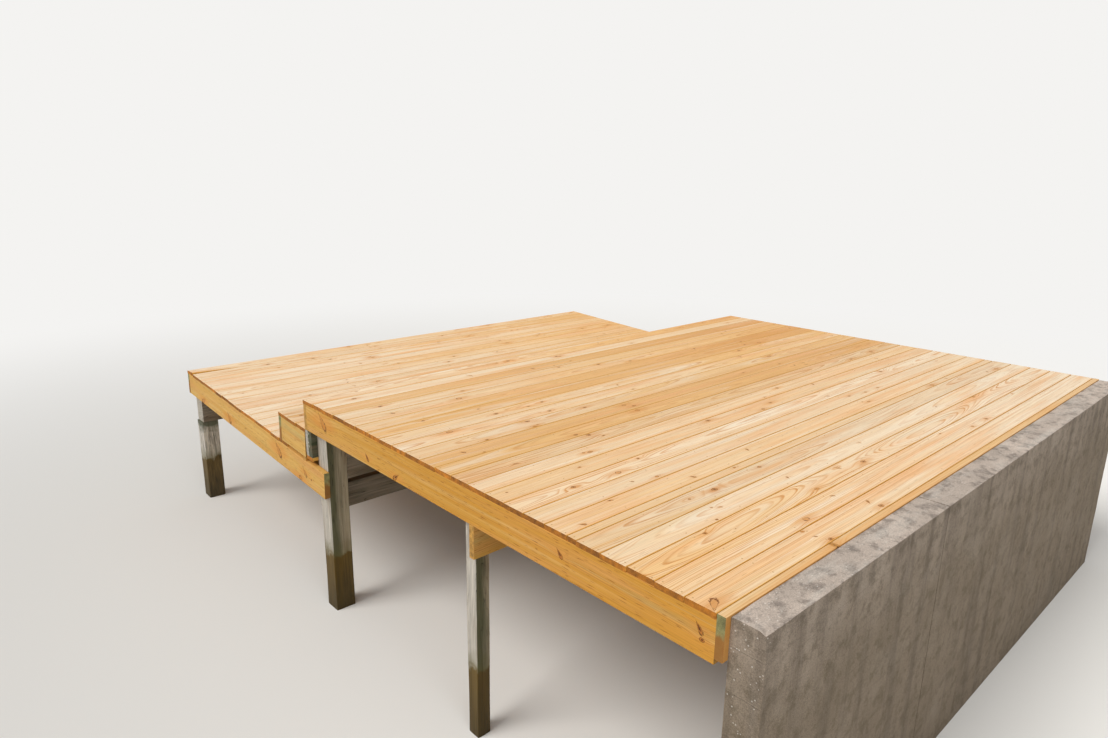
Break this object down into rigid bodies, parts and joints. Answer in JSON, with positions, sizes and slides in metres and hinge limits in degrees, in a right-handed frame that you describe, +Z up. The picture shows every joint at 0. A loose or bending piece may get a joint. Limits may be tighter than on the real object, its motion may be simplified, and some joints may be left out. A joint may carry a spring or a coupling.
{
  "type": "timber jetty",
  "caption": "Stepped timber jetty: an upper deck against a concrete sill, a full-width step and a lower deck over the water on square posts.",
  "frame": {"origin": "centre of the bounding box at the level of the bed that the posts and the sill stand on", "axes": "+X along the deck boards to the right as seen from the land, +Y from the land out over the water, +Z up"},
  "size_m": [4.877, 6.015, 1.5],
  "materials": {
    "deck_pine": "sawn and planed, new pressure-treated pine",
    "frame_pine": "rough planed, new pressure-treated pine",
    "old_timber": "weathered grey, stained by water",
    "sill_concrete": "old cast concrete, matte"
  },
  "bodies": {
    "root": {"upper_boards_land": "deck_pine", "ripped_board": "deck_pine", "upper_boards_middle": "deck_pine", "upper_boards_water": "deck_pine", "upper_land_rim": "frame_pine", "upper_water_rim": "frame_pine", "upper_left_fascia": "frame_pine", "upper_right_fascia": "frame_pine", "upper_joists_left": "frame_pine", "upper_joists_right": "frame_pine", "mid_beam": "frame_pine", "mid_post_left": "old_timber", "mid_post_middle": "old_timber", "mid_post_right": "old_timber", "bank_beam": "old_timber", "beam_cleats": "deck_pine", "bank_rails": "old_timber", "bank_post_left": "old_timber", "bank_post_middle": "old_timber", "bank_post_right": "old_timber", "step_tread": "deck_pine", "step_riser": "frame_pine", "step_back_rail": "frame_pine", "step_packer": "deck_pine", "step_left_side": "frame_pine", "step_right_side": "frame_pine", "step_blocks": "frame_pine", "lower_boards_land": "deck_pine", "lower_boards_water": "deck_pine", "lower_edge_board": "deck_pine", "lower_header": "frame_pine", "lower_water_rim": "frame_pine", "lower_left_fascia": "frame_pine", "lower_right_fascia": "frame_pine", "lower_joists": "frame_pine", "lower_land_beam": "old_timber", "lower_water_beam": "old_timber", "water_post_left": "old_timber", "water_post_middle": "old_timber", "water_post_right": "old_timber", "sill_left": "sill_concrete", "sill_right": "sill_concrete"}
  },
  "joints": []
}
